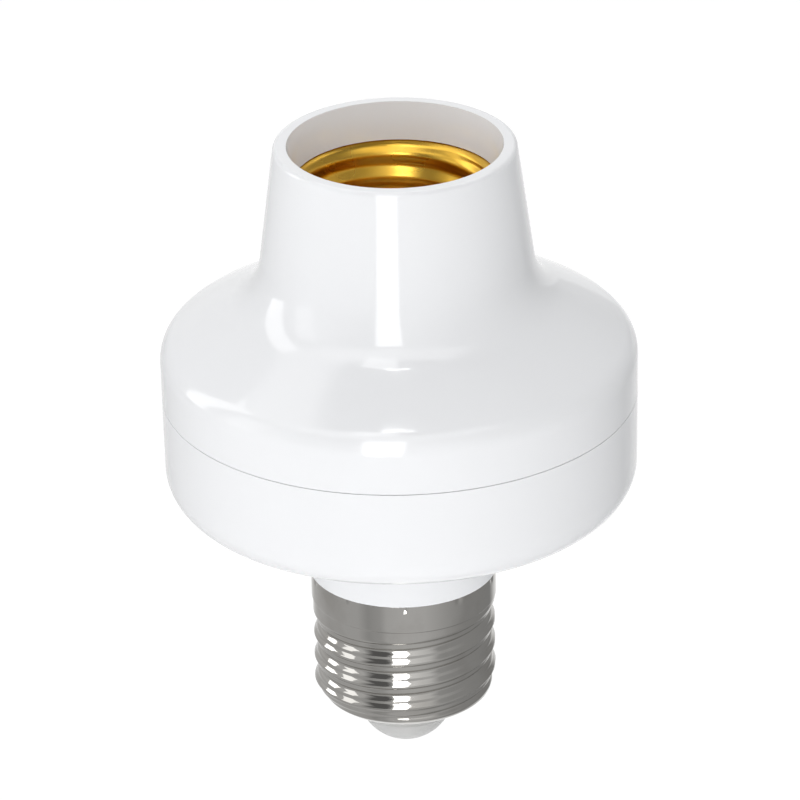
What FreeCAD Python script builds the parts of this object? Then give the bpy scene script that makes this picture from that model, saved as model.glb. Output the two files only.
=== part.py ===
"""A screw-base lamp socket adapter: it screws into a lampholder and takes a screw-base bulb.

Everything is in millimetres. The axis of the lamp is Z, and Z = 0 is the lowest point of the
tip contact. From there up: a screw cap with a plastic nose, a flat round housing with a
receiver board inside it, and a tapered neck that holds a threaded brass socket.
"""
import FreeCAD, Part
import math
import os

import Sketcher
from FreeCAD import Placement, Rotation, Vector

doc = FreeCAD.newDocument("LampSocketAdapter")
sheet = doc.addObject("Spreadsheet::Sheet", "Sizes")
working = doc.addObject("Spreadsheet::Sheet", "Working")

# Directions of the first of a set of fasteners, in degrees from X
ALONG_Y_ANGLE = 90.0
AGAINST_X_ANGLE = 180.0
# How much of the shorter of two runs a bend in a wire may take
RUN_SHARE = 0.45
# Lengths closer than this, in millimetres, count as the same
SAME_LENGTH = 1e-6

# Driving dimensions: name, value in millimetres (or a count), meaning
SIZES = [
    # The screw thread of the cap and of the socket
    ("thread_pitch", 3.629, "seven turns to the inch"),
    ("thread_depth", 0.95, "crest to root"),
    ("thread_root_width", 0.9, "flat at the bottom of the groove"),
    # Screw cap
    ("cap_crest_radius", 13.15, "crest of the cap's thread"),
    ("cap_land", 1.0, "flat left on the crest of the cap's thread"),
    ("cap_band_radius", 13.32, "plain band at the cap's top edge"),
    ("cap_reach", 27.75, "tip contact to the cap's top edge"),
    ("cap_sheet", 0.45, "metal thickness of the cap"),
    ("cap_band", 4.4, "height of the band, above the groove's upper end"),
    ("cap_thread_turns", 4.3, "turns of groove, which starts below the side and runs out there"),
    ("cap_side_foot", 8.8, "level where the cap's side ends and its taper starts"),
    ("cap_shoulder_rounding", 2.5, "rounding between side and taper"),
    ("cap_hole_radius", 6.6, "hole for the nose"),
    ("cap_hole_level", 4.4, "lower edge of the taper"),
    ("dimple_count", 10, "punch marks that hold the cap on the housing"),
    ("dimple_radius", 0.8, "radius of the punch"),
    ("dimple_drop", 0.75, "top edge to the middle of a punch mark"),
    ("dimple_depth", 0.22, "depth of a punch mark"),
    # Plastic nose and tip contact
    ("nose_radius", 7.0, "radius of the nose's dome"),
    ("nose_centre", 6.8, "level of the dome's centre"),
    ("nose_gap", 0.1, "nose to the edge of its hole"),
    ("nose_flange_radius", 8.8, "flange that lies inside the taper"),
    ("nose_top", 7.7, "level of the nose's upper face"),
    ("tip_head_radius", 2.5, "tip contact's head"),
    ("tip_head_height", 0.3, "height of that head, and level of its seat"),
    ("tip_shank_radius", 0.9, "rivet shank through the nose"),
    ("tip_collar_radius", 1.8, "rolled collar above the nose"),
    ("tip_collar_height", 0.5, "height of the rolled collar"),
    ("rivet_gap", 0.05, "rivet or screw shank to its hole"),
    # Lower housing
    ("shell_wall", 2.0, "wall of both housings"),
    ("collar_radius", 13.5, "collar above the screw cap, at its foot"),
    ("collar_draft", 0.15, "how much wider the collar is at its top"),
    ("collar_height", 12.05, "cap's top edge to the housing's underside"),
    ("underside_rise", 0.35, "how much higher the underside is at its outer edge"),
    ("spigot_gap", 0.15, "spigot to the inside of the cap"),
    ("spigot_wall", 1.7, "wall of the spigot"),
    ("spigot_end", 11.2, "level of the spigot's lower end"),
    ("body_radius", 33.82, "housing's greatest radius, at the outer corner of the dome"),
    ("seam_inset", 0.04, "how much narrower the side is at the seam"),
    ("underside_inset", 0.2, "how much narrower the side is at its lower end"),
    ("underside_rounding", 5.2, "rounding between underside and side"),
    ("corner_fill", 2.2, "how far the corner inside the housing is filled across"),
    ("seam_rise", 16.15, "underside to the seam"),
    ("seam_gap", 0.12, "shadow gap at the seam"),
    ("lip_height", 2.3, "locating lip above the lower housing's rim"),
    ("lip_thickness", 0.9, "thickness of the lip"),
    ("lip_gap", 0.1, "lip to the upper cover's rebate"),
    ("hook_count", 4, "snap hooks"),
    ("hook_width", 6.0, "width of a hook"),
    ("hook_arm", 1.1, "thickness of a hook's arm"),
    ("hook_barb", 0.6, "how far a hook's barb stands out"),
    ("hook_root", 5.0, "how far the hook's arm runs down below the seam"),
    ("hook_groove_height", 1.8, "height of the groove that the barbs catch in"),
    ("hook_gap", 0.3, "clearance round a hook"),
    # Upper cover
    ("side_rise", 7.7, "seam to the shoulder"),
    ("shoulder_rounding", 3.8, "rounding of that corner"),
    ("dome_rise", 8.55, "shoulder to the foot of the neck"),
    ("neck_foot_radius", 19.88, "foot of the neck"),
    ("neck_foot_rounding", 9.2, "rounding between dome and neck"),
    ("neck_length", 21.4, "foot of the neck to the rim"),
    ("rim_radius", 17.05, "outer radius of the rim"),
    ("rim_rounding", 0.7, "edge of the rim"),
    ("mouth_radius", 15.2, "mouth at the rim"),
    ("mouth_foot_radius", 14.3, "mouth at its lower edge"),
    ("mouth_depth", 5.5, "rim to the mouth's lower edge"),
    ("rib_count", 6, "ribs that centre the socket in the neck"),
    ("rib_thickness", 1.2, "thickness of a rib"),
    ("rib_gap", 0.2, "rib to the socket's wall"),
    ("rib_end_gap", 1.8, "ends of the ribs to the mouth's lower edge"),
    ("rib_length", 12.0, "length of a rib"),
    # Brass socket
    ("socket_crest_radius", 12.3, "crest of the socket's thread"),
    ("socket_land", 1.75, "flat left on the crest of the socket's thread"),
    ("socket_sheet", 0.4, "metal thickness of the socket"),
    ("socket_lip_radius", 14.9, "flared lip under the mouth's edge"),
    ("socket_lip_height", 1.8, "height of the flare"),
    ("socket_lip_gap", 0.1, "lip to the underside of the mouth"),
    ("socket_length", 22.6, "height of the socket"),
    ("socket_thread_turns", 5.3, "turns of groove, which runs out in the relief and in the lip"),
    ("socket_thread_rise", 3.97, "socket's foot to the groove's lower end"),
    ("socket_relief_height", 6.4, "height of the wider wall below the thread"),
    ("socket_hole_radius", 8.6, "hole in the socket's floor"),
    # Socket base
    ("base_plate", 2.5, "thickness of the base"),
    ("base_radius", 15.0, "radius of the base"),
    ("hub_radius", 7.9, "hub that holds the centre contact"),
    ("hub_height", 5.1, "height of the hub"),
    ("hub_lip", 1.0, "lip that keeps the centre contact in"),
    ("hub_chamfer", 0.6, "upper edge of the hub"),
    ("ear_radius", 3.6, "radius of an ear round its screw"),
    ("ear_count", 3, "ears, bosses and screws"),
    ("ear_reach", 7.0, "base's edge to the ear's screw"),
    ("base_screw_radius", 1.2, "screw shank"),
    ("base_screw_head", 2.4, "radius of the screw's head"),
    ("base_screw_head_height", 1.7, "height of the screw's head"),
    ("base_screw_length", 5.6, "length of the shank"),
    ("boss_pilot_depth", 3.6, "pilot hole in the upper cover's boss"),
    ("boss_width", 5.6, "width of that boss"),
    ("shell_rivet_offset", 11.0, "axis to a rivet of the socket"),
    ("shell_rivet_radius", 1.1, "rivet shank"),
    ("shell_rivet_head", 1.9, "radius of a rivet's head"),
    ("shell_rivet_head_height", 0.5, "height of a rivet's head"),
    # Centre contact, its spring and its strip
    ("plunger_radius", 2.4, "stem of the centre contact"),
    ("plunger_reach", 1.4, "how far the centre contact stands above its hub"),
    ("plunger_dome", 0.6, "height of its domed end"),
    ("plunger_collar", 3.4, "radius of its collar"),
    ("plunger_collar_height", 1.9, "height of its collar"),
    ("plunger_guide_gap", 0.2, "stem and collar to the bore"),
    ("plunger_rest_gap", 0.1, "collar to the lip at rest"),
    ("plunger_spigot_radius", 1.8, "spigot inside the spring"),
    ("plunger_spigot_length", 0.8, "length of that spigot"),
    ("spring_radius", 2.65, "mean radius of the spring"),
    ("spring_wire", 0.25, "radius of its wire"),
    ("spring_turns", 4.0, "turns of the spring"),
    ("spring_gap", 0.03, "spring to what it stands on"),
    ("strip_thickness", 0.5, "contact strip"),
    ("strip_width", 8.0, "width of the strip"),
    ("strip_length", 17.0, "length of the strip"),
    ("strip_back", 5.0, "axis to the strip's near end"),
    ("peg_radius", 1.0, "moulded peg that holds the strip"),
    ("peg_offset", 7.5, "axis to the peg"),
    ("peg_length", 1.0, "how far the peg stands below the base"),
    # Circuit board and what stands on it
    ("board_edge_gap", 1.78, "circuit board to the housing's inner side"),
    ("board_thickness", 1.6, "thickness of the board"),
    ("board_stand", 2.8, "floor to the board"),
    ("board_hole_radius", 3.4, "hole for the leads at the middle"),
    ("board_screw_count", 3, "screws of the board"),
    ("board_screw_inset", 5.0, "board's edge to a screw"),
    ("board_screw_radius", 1.0, "screw shank"),
    ("board_screw_head", 2.0, "radius of the screw's head"),
    ("board_screw_head_height", 1.4, "height of the screw's head"),
    ("board_screw_length", 4.8, "length of the shank"),
    ("stand_radius", 2.8, "boss under the board"),
    ("stand_pilot_depth", 3.5, "pilot hole in that boss"),
    # Leads
    ("lead_radius", 0.7, "insulated lead"),
    ("antenna_wire_radius", 0.45, "aerial wire"),
    ("antenna_stand", 5.0, "board to the aerial's run"),
    ("antenna_left", -0.583, "where the aerial leaves the board, as a share of its radius"),
    ("antenna_right", 0.567, "where it ends, as such a share"),
    ("antenna_y", -0.733, "aerial's place, across, as such a share"),
    ("lead_foot", 6.0, "straight stretch at a lead's end"),
    ("lead_gap", 0.1, "cap lead's end to the inside of the cap"),
    ("tip_lead_x", 7.0, "where the tip lead meets the board"),
    ("cap_lead_x", 6.0, "where the cap lead meets the board, on the other side"),
    ("cap_lead_dip", 1.4, "spigot's end to the cap lead below it"),
    ("live_lead_x", 4.5, "where the live lead meets the contact strip"),
    ("live_lead_y", -2.6, "the same, across"),
    ("block_rounding", 0.4, "upright edges of the moulded blocks"),
    # Places on the board, and plan sizes of the blocks, are shares of the board's radius
    ("relay_x", -0.45, "relay's place"),
    ("relay_y", 0.35, "relay's place, across"),
    ("relay_length", 0.633, "relay"),
    ("relay_width", 0.513, "relay, across"),
    ("relay_height", 15.0, "relay's height"),
    ("dropper_capacitor_x", 0.433, "film capacitor's place"),
    ("dropper_capacitor_y", 0.267, "film capacitor's place, across"),
    ("dropper_capacitor_length", 0.6, "film capacitor"),
    ("dropper_capacitor_width", 0.233, "film capacitor, across"),
    ("dropper_capacitor_height", 13.0, "film capacitor's height"),
    ("bridge_rectifier_x", 0.65, "rectifier's place"),
    ("bridge_rectifier_y", -0.133, "rectifier's place, across"),
    ("bridge_rectifier_length", 0.283, "rectifier"),
    ("bridge_rectifier_width", 0.213, "rectifier, across"),
    ("bridge_rectifier_height", 2.6, "rectifier's height"),
    ("receiver_module_x", -0.467, "receiver's small upright board"),
    ("receiver_module_y", -0.567, "receiver's place, across"),
    ("receiver_module_length", 0.567, "receiver"),
    ("receiver_module_width", 0.08, "receiver, across"),
    ("receiver_module_height", 11.0, "receiver's height"),
    ("control_chip_x", -0.433, "control chip's place"),
    ("control_chip_y", -0.267, "control chip's place, across"),
    ("control_chip_length", 0.333, "control chip"),
    ("control_chip_width", 0.133, "control chip, across"),
    ("control_chip_height", 1.6, "control chip's height"),
    ("fuse_resistor_x", 0.317, "fuse resistor's place"),
    ("fuse_resistor_y", 0.6, "fuse resistor's place, across"),
    ("fuse_resistor_length", 0.3, "fuse resistor"),
    ("fuse_resistor_width", 0.107, "fuse resistor, across"),
    ("fuse_resistor_height", 3.2, "fuse resistor's height"),
    ("can_x", 0.267, "smoothing capacitor's place"),
    ("can_y", -0.517, "smoothing capacitor's place, across"),
    ("can_radius", 4.0, "smoothing capacitor"),
    ("can_height", 12.0, "smoothing capacitor's height"),
    ("can_crimp", 0.4, "depth of the crimp round it"),
    ("can_crimp_level", 2.0, "foot of the can to the crimp"),
    ("surge_x", 0.667, "surge absorber's place"),
    ("surge_y", 0.517, "surge absorber's place, across"),
    ("surge_radius", 3.6, "surge absorber"),
    ("surge_thickness", 3.0, "thickness of the surge absorber"),
    ("crest_overshoot", 0.3, "how far the thread's tool reaches past the crest"),
    ("shell_rivet_count", 2, "rivets of the socket"),
]

# Levels and radii that follow from the driving dimensions
DERIVED = [
    ("cap_root_radius", "cap_crest_radius - thread_depth"),
    ("cap_bore_radius", "cap_root_radius - cap_sheet"),
    ("cap_band_bore", "cap_band_radius - cap_sheet"),
    ("cap_slope", "(cap_side_foot - cap_hole_level) / (cap_crest_radius - cap_hole_radius)"),
    ("cap_sheet_rise", "cap_sheet * sqrt(1 + cap_slope * cap_slope)"),
    ("nose_seat", "cap_hole_level + cap_sheet_rise + nose_gap"),
    ("cap_groove_end", "cap_reach - cap_band - (thread_pitch - cap_land) / 2"),
    ("cap_groove_start", "cap_groove_end - cap_thread_turns * thread_pitch"),
    ("spigot_step", "cap_reach - cap_band + 2 * spigot_gap"),
    ("nose_shank_radius", "cap_hole_radius - nose_gap"),
    ("nose_shank_level",
     "nose_centre - sqrt(nose_radius * nose_radius - nose_shank_radius * nose_shank_radius)"),
    ("nose_flat_radius",
     "sqrt(nose_radius * nose_radius - (nose_centre - tip_head_height) * (nose_centre - tip_head_height))"),
    ("tip_head_sphere",
     "(tip_head_radius * tip_head_radius + tip_head_height * tip_head_height) / (2 * tip_head_height)"),
    ("seam_radius", "body_radius - seam_inset"),
    ("underside_radius", "body_radius - underside_inset"),
    ("underside_level", "cap_reach + collar_height"),
    ("floor_level", "underside_level + shell_wall"),
    ("seam_level", "underside_level + seam_rise"),
    ("rim_lower_level", "seam_level - seam_gap / 2"),
    ("rim_upper_level", "seam_level + seam_gap / 2"),
    ("lip_top", "rim_lower_level + lip_height"),
    ("inner_side_radius", "seam_radius - shell_wall"),
    ("lip_radius", "inner_side_radius + lip_thickness"),
    ("rebate_top", "lip_top + lip_gap + seam_gap / 2"),
    ("hook_level", "rebate_top + hook_gap + 0.5 * lip_thickness"),
    ("shoulder_level", "seam_level + side_rise"),
    ("neck_foot_level", "shoulder_level + dome_rise"),
    ("rim_level", "neck_foot_level + neck_length"),
    ("mouth_level", "rim_level - mouth_depth"),
    ("neck_slope", "(neck_foot_radius - rim_radius) / neck_length"),
    ("neck_bore_top_radius", "rim_radius + neck_slope * (mouth_depth + shell_wall) - shell_wall"),
    ("dome_slope", "dome_rise / (body_radius - neck_foot_radius)"),
    ("dome_drop", "shell_wall * sqrt(1 + dome_slope * dome_slope)"),
    ("neck_bore_foot_radius", "neck_foot_radius - shell_wall"),
    ("neck_bore_foot_level", "neck_foot_level - dome_drop + dome_slope * shell_wall"),
    ("dome_inner_level",
     "neck_foot_level - dome_drop - dome_slope * (inner_side_radius - neck_foot_radius)"),
    ("boss_outer_level",
     "neck_foot_level - dome_drop / 2 - dome_slope * (ear_offset + boss_width / 2 - neck_foot_radius)"),
    ("boss_inner_level",
     "neck_foot_level - dome_drop / 2 - dome_slope * (ear_offset - boss_width / 2 - neck_foot_radius)"),
    ("socket_root_radius", "socket_crest_radius + thread_depth"),
    ("socket_radius", "socket_root_radius + socket_sheet"),
    ("socket_top", "mouth_level - socket_lip_gap"),
    ("base_seat", "socket_top - socket_length"),
    ("socket_thread_start", "base_seat + socket_thread_rise"),
    ("socket_relief", "base_seat + socket_relief_height"),
    ("socket_floor_top", "base_seat + socket_sheet"),
    ("ear_offset", "base_radius + ear_reach"),
    ("base_underside", "base_seat - base_plate"),
    ("hub_top", "base_seat + hub_height"),
    ("plunger_top", "hub_top + plunger_reach"),
    ("hub_bore_radius", "plunger_collar + plunger_guide_gap"),
    ("hub_mouth_radius", "plunger_radius + plunger_guide_gap"),
    ("plunger_shoulder", "hub_top - hub_lip - plunger_rest_gap"),
    ("plunger_collar_foot", "plunger_shoulder - plunger_collar_height"),
    ("plunger_sphere",
     "(plunger_radius * plunger_radius + plunger_dome * plunger_dome) / (2 * plunger_dome)"),
    ("spring_foot", "base_underside + spring_wire + spring_gap"),
    ("spring_head", "plunger_collar_foot - spring_wire - spring_gap"),
    ("strip_underside", "base_underside - strip_thickness"),
    ("board_radius", "inner_side_radius - board_edge_gap"),
    ("board_screw_offset", "board_radius - board_screw_inset"),
    ("board_underside", "floor_level + board_stand"),
    ("board_top", "board_underside + board_thickness"),
]


def fill_sheet():
    """Writes the driving dimensions as plain numbers and the rest as formulas, each with its alias."""
    row = 0
    for name, value, meaning in SIZES:
        row += 1
        sheet.set("A%d" % row, meaning)
        sheet.set("B%d" % row, str(value))
        sheet.setAlias("B%d" % row, name)
    for name, formula in DERIVED:
        row += 1
        sheet.set("B%d" % row, "=" + formula)
        sheet.setAlias("B%d" % row, name)
    doc.recompute()


def number(formula):
    """The value of a formula in the sheet's names, worked out in a sheet that nothing depends on."""
    working.set("A1", "=" + linked(formula))
    working.recompute()
    return float(working.get("A1"))


def linked(formula):
    """The same formula with each of the sheet's names written as an expression outside the sheet has it."""
    words = formula.replace("(", " ( ").replace(")", " ) ").split()
    names = {name for name, _, _ in SIZES} | {name for name, _ in DERIVED}
    return " ".join("Sizes." + word if word in names else word for word in words)


def new_body(label):
    body = doc.addObject("PartDesign::Body", label)
    body.Label = label
    return body


def plane(body, role):
    return next(o for o in body.Origin.OriginFeatures if o.Role == role)


def tie(sketch, line, point, corner, place, only_x=False):
    """Holds one end of a line at its two distances from the sketch's origin."""
    kinds = [("DistanceX", corner[0], place.x, -2)]
    if not only_x:
        kinds.append(("DistanceY", corner[1], place.y, -1))
    for kind, formula, value, axis in kinds:
        if formula == "0":
            sketch.addConstraint(Sketcher.Constraint("PointOnObject", line, point, axis))
        elif value < 0:
            at = sketch.addConstraint(Sketcher.Constraint(kind, line, point, -1, 1, -value))
            sketch.setExpression("Constraints[%d]" % at, "-1 * ( %s )" % linked(formula))
        else:
            at = sketch.addConstraint(Sketcher.Constraint(kind, -1, 1, line, point, value))
            sketch.setExpression("Constraints[%d]" % at, linked(formula))


def sketch_on(body, name, role, level=None):
    """An empty sketch on one of the body's origin planes, lifted to a level along that plane's normal."""
    sketch = body.newObject("Sketcher::SketchObject", name)
    sketch.AttachmentSupport = [(plane(body, role), "")]
    sketch.MapMode = "FlatFace"
    if level:
        sketch.setExpression("AttachmentOffset.Base.z", linked(level))
    return sketch


def arc_in(sketch, start, through, end):
    """Adds an arc and says which of its ends is the start, because a sketch's arcs all run one way."""
    at = sketch.addGeometry(Part.Arc(start, through, end), False)
    forward = sketch.getPoint(at, 1).distanceToPoint(start) < sketch.getPoint(at, 2).distanceToPoint(start)
    return (at, 1, 2) if forward else (at, 2, 1)


def outline(sketch, corners):
    """A closed outline through corners, which are pairs (x, y) with one of these after them if need be.

    ("about", level): the stretch that starts here is an arc about (0, level).
    ("round", radius): the corner is rounded by an arc that touches both its lines.
    """
    count = len(corners)
    places = [Vector(number(c[0]), number(c[1]), 0) for c in corners]
    kinds = [c[2] if len(c) > 2 else "" for c in corners]
    starts, finishes = list(places), list(places)
    middles = [None] * count
    for i, corner in enumerate(corners):
        if kinds[i] != "round":
            continue
        back = (places[i - 1] - places[i]).normalize()
        ahead = (places[(i + 1) % count] - places[i]).normalize()
        half = back.getAngle(ahead) / 2
        radius = number(corner[3])
        finishes[i] = places[i] + back * (radius / math.tan(half))
        starts[i] = places[i] + ahead * (radius / math.tan(half))
        middles[i] = places[i] + (back + ahead).normalize() * (radius / math.sin(half) - radius)
    lines = []
    for i, corner in enumerate(corners):
        start, end = starts[i], finishes[(i + 1) % count]
        if kinds[i] == "about":
            centre = Vector(0, number(corner[3]), 0)
            towards = (start + end) * 0.5 - centre
            through = centre + towards * (start.distanceToPoint(centre) / towards.Length)
            lines.append(arc_in(sketch, start, through, end))
        else:
            lines.append((sketch.addGeometry(Part.LineSegment(start, end), False), 1, 2))
    for i, corner in enumerate(corners):
        before, here = lines[i - 1], lines[i]
        if kinds[i] == "round":
            arc = arc_in(sketch, finishes[i], middles[i], starts[i])
            point = sketch.addGeometry(Part.Point(places[i]), True)
            sketch.addConstraint(Sketcher.Constraint("Tangent", before[0], before[2], arc[0], arc[1]))
            sketch.addConstraint(Sketcher.Constraint("Tangent", arc[0], arc[2], here[0], here[1]))
            sketch.addConstraint(Sketcher.Constraint("PointOnObject", point, 1, before[0]))
            sketch.addConstraint(Sketcher.Constraint("PointOnObject", point, 1, here[0]))
            held = sketch.addConstraint(Sketcher.Constraint("Radius", arc[0], number(corner[3])))
            sketch.setExpression("Constraints[%d]" % held, linked(corner[3]))
            tie(sketch, point, 1, corner, places[i])
            continue
        sketch.addConstraint(Sketcher.Constraint("Coincident", before[0], before[2], here[0], here[1]))
        tie(sketch, here[0], here[1], corner, places[i], only_x=kinds[i - 1] == "about")
        if kinds[i] == "about":
            tie(sketch, here[0], 3, ("0", corner[3]), Vector(0, number(corner[3]), 0))
    return sketch


def ring(sketch, x, y, radius):
    """A circle in a sketch."""
    place = Vector(number(x), number(y), 0)
    at = sketch.addGeometry(Part.Circle(place, Vector(0, 0, 1), number(radius)), False)
    tie(sketch, at, 3, (x, y), place)
    held = sketch.addConstraint(Sketcher.Constraint("Radius", at, number(radius)))
    sketch.setExpression("Constraints[%d]" % held, linked(radius))
    return sketch


def turned(body, name, corners, cut=False):
    """A profile in the plane of X and Z, turned once round Z, as a solid or as a cut."""
    sketch = outline(sketch_on(body, name + "Profile", "XZ_Plane"), corners)
    doc.recompute()
    feature = body.newObject("PartDesign::Groove" if cut else "PartDesign::Revolution", name)
    feature.Profile = sketch
    feature.ReferenceAxis = (sketch, ["V_Axis"])
    feature.Angle = 360
    doc.recompute()
    return feature


def raised(body, name, sketch, length, middle=False, down=False):
    """A pad of a sketch: upwards, downwards or to both sides of it."""
    pad = body.newObject("PartDesign::Pad", name)
    pad.Profile = sketch
    pad.setExpression("Length", linked(length))
    if middle:
        pad.SideType = "Symmetric"
    pad.Reversed = down
    doc.recompute()
    return pad


def cut_out(body, name, sketch, length=None, up=False):
    """A pocket of a sketch, through everything where it has no depth."""
    before = body.Shape.Volume
    pocket = body.newObject("PartDesign::Pocket", name)
    pocket.Profile = sketch
    if length:
        pocket.setExpression("Length", linked(length))
    else:
        pocket.Type = "ThroughAll"
        pocket.SideType = "Symmetric"
    pocket.Reversed = up
    doc.recompute()
    if body.Shape.Volume >= before:
        raise RuntimeError(name + " cuts nothing")
    return pocket


def around(body, name, features, count):
    """Repeats features evenly round Z."""
    pattern = body.newObject("PartDesign::PolarPattern", name)
    pattern.Originals = features
    pattern.Axis = (plane(body, "Z_Axis"), [""])
    pattern.Angle = 360
    pattern.setExpression("Occurrences", linked(count))
    body.Tip = pattern
    doc.recompute()
    return pattern


def thread(body, name, crest, land, start, turns, outwards=False):
    """A right-hand groove with sloping flanks, cut from a crest radius towards the axis or away from it.

    The tool reaches past the crest along the line of its flanks.
    """
    half_root = "thread_root_width / 2"
    half_groove = "( thread_pitch - %s ) / 2" % land
    flare = "crest_overshoot / thread_depth * ( %s - %s )" % (half_groove, half_root)
    half_top = "( %s + %s )" % (half_groove, flare)
    root = "%s + thread_depth" % crest if outwards else "%s - thread_depth" % crest
    rim = "%s - crest_overshoot" % crest if outwards else "%s + crest_overshoot" % crest
    sketch = outline(sketch_on(body, name + "Profile", "XZ_Plane"), [
        (rim, "%s - %s" % (start, half_top)),
        (root, "%s - %s" % (start, half_root)),
        (root, "%s + %s" % (start, half_root)),
        (rim, "%s + %s" % (start, half_top)),
    ])
    doc.recompute()
    before = body.Shape.Volume
    groove = body.newObject("PartDesign::SubtractiveHelix", name)
    groove.Profile = sketch
    groove.ReferenceAxis = (sketch, ["V_Axis"])
    groove.Mode = "pitch-turns-angle"
    groove.setExpression("Pitch", "Sizes.thread_pitch")
    groove.setExpression("Turns", linked(turns))
    groove.LeftHanded = False
    doc.recompute()
    if body.Shape.Volume >= before:
        raise RuntimeError(name + " cuts nothing")
    return groove


def build_screw_cap():
    """Rolled metal shell: plain band, thread, taper to the nose, and the punch marks round its edge."""
    body = new_body("screw_cap")
    turned(body, "CapShell", [
        ("cap_hole_radius", "cap_hole_level"),
        ("cap_crest_radius", "cap_side_foot", "round", "cap_shoulder_rounding"),
        ("cap_crest_radius", "cap_reach - cap_band"),
        ("cap_band_radius", "cap_reach - cap_band + cap_band_radius - cap_crest_radius"),
        ("cap_band_radius", "cap_reach"),
        ("cap_band_bore", "cap_reach"),
        ("cap_band_bore", "spigot_step + spigot_gap"),
        ("cap_bore_radius", "spigot_step - spigot_gap"),
        ("cap_bore_radius",
         "cap_side_foot + cap_sheet_rise - cap_slope * thread_depth - cap_slope * cap_sheet"),
        ("cap_hole_radius", "cap_hole_level + cap_sheet_rise"),
    ])
    thread(body, "CapThread", "cap_crest_radius", "cap_land", "cap_groove_start", "cap_thread_turns")
    mark = sketch_on(body, "PunchProfile", "XY_Plane", "cap_reach - dimple_drop - dimple_radius")
    ring(mark, "0", "-1 * ( cap_band_radius + dimple_radius - dimple_depth )", "dimple_radius")
    doc.recompute()
    punch = cut_out(body, "PunchMark", mark, "2 * dimple_radius", up=True)
    around(body, "PunchMarks", [punch], "dimple_count")


def build_nose():
    """White plastic nose: a dome below the cap's hole and a flange that lies on the taper's inside."""
    body = new_body("cap_nose")
    turned(body, "NoseBody", [
        ("tip_shank_radius + rivet_gap", "tip_head_height"),
        ("nose_flat_radius", "tip_head_height", "about", "nose_centre"),
        ("nose_shank_radius", "nose_shank_level"),
        ("nose_shank_radius", "nose_seat"),
        ("nose_flange_radius",
         "nose_seat + cap_slope * ( nose_flange_radius - nose_shank_radius )"),
        ("nose_flange_radius", "nose_top"),
        ("tip_shank_radius + rivet_gap", "nose_top"),
    ])


def build_tip_contact():
    """The tip contact is a rivet: a low domed head, a shank through the nose and a rolled collar."""
    body = new_body("tip_contact")
    turned(body, "TipRivet", [
        ("0", "0", "about", "tip_head_sphere"),
        ("tip_head_radius", "tip_head_height"),
        ("tip_shank_radius", "tip_head_height"),
        ("tip_shank_radius", "nose_top"),
        ("tip_collar_radius", "nose_top"),
        ("tip_collar_radius", "nose_top + tip_collar_height"),
        ("0", "nose_top + tip_collar_height"),
    ])


def build_lower_housing():
    """Lower housing: spigot inside the cap, collar, flat floor, round side, lip, hooks and board bosses."""
    body = new_body("lower_housing")
    turned(body, "Housing", [
        ("cap_bore_radius - spigot_gap", "spigot_end"),
        ("cap_bore_radius - spigot_gap", "spigot_step"),
        ("cap_band_bore - spigot_gap", "spigot_step + 2 * spigot_gap"),
        ("cap_band_bore - spigot_gap", "cap_reach"),
        ("collar_radius", "cap_reach"),
        ("collar_radius + collar_draft", "underside_level"),
        ("underside_radius", "underside_level + underside_rise", "round", "underside_rounding"),
        ("seam_radius", "rim_lower_level"),
        ("lip_radius", "rim_lower_level"),
        ("lip_radius", "lip_top"),
        ("inner_side_radius", "lip_top"),
        ("inner_side_radius", "floor_level + underside_rise + corner_fill"),
        ("inner_side_radius - corner_fill", "floor_level + underside_rise"),
        ("collar_radius + collar_draft", "floor_level"),
        ("cap_bore_radius - spigot_gap - spigot_wall", "floor_level"),
        ("cap_bore_radius - spigot_gap - spigot_wall", "spigot_end"),
    ])
    stand = sketch_on(body, "StandProfile", "XY_Plane", "floor_level - shell_wall / 2")
    ring(stand, "0", "board_screw_offset", "stand_radius")
    doc.recompute()
    post = raised(body, "BoardStand", stand, "board_stand + shell_wall / 2")
    pilot = sketch_on(body, "StandPilotProfile", "XY_Plane", "board_underside")
    ring(pilot, "0", "board_screw_offset", "board_screw_radius + rivet_gap")
    doc.recompute()
    hole = cut_out(body, "StandPilot", pilot, "stand_pilot_depth")
    around(body, "BoardStands", [post, hole], "board_screw_count")
    arm = outline(sketch_on(body, "HookProfile", "XZ_Plane"), [
        ("inner_side_radius - hook_arm", "seam_level - hook_root"),
        ("inner_side_radius + lip_thickness / 2", "seam_level - hook_root"),
        ("inner_side_radius + lip_thickness / 2", "lip_top - lip_thickness"),
        ("inner_side_radius - hook_gap", "lip_top - lip_thickness"),
        ("inner_side_radius - hook_gap", "hook_level"),
        ("inner_side_radius + hook_barb", "hook_level"),
        ("inner_side_radius - hook_gap", "hook_level + hook_groove_height - 2 * hook_gap"),
        ("inner_side_radius - hook_arm", "hook_level + hook_groove_height - 2 * hook_gap"),
    ])
    doc.recompute()
    hook = raised(body, "Hook", arm, "hook_width", middle=True)
    around(body, "Hooks", [hook], "hook_count")


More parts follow.
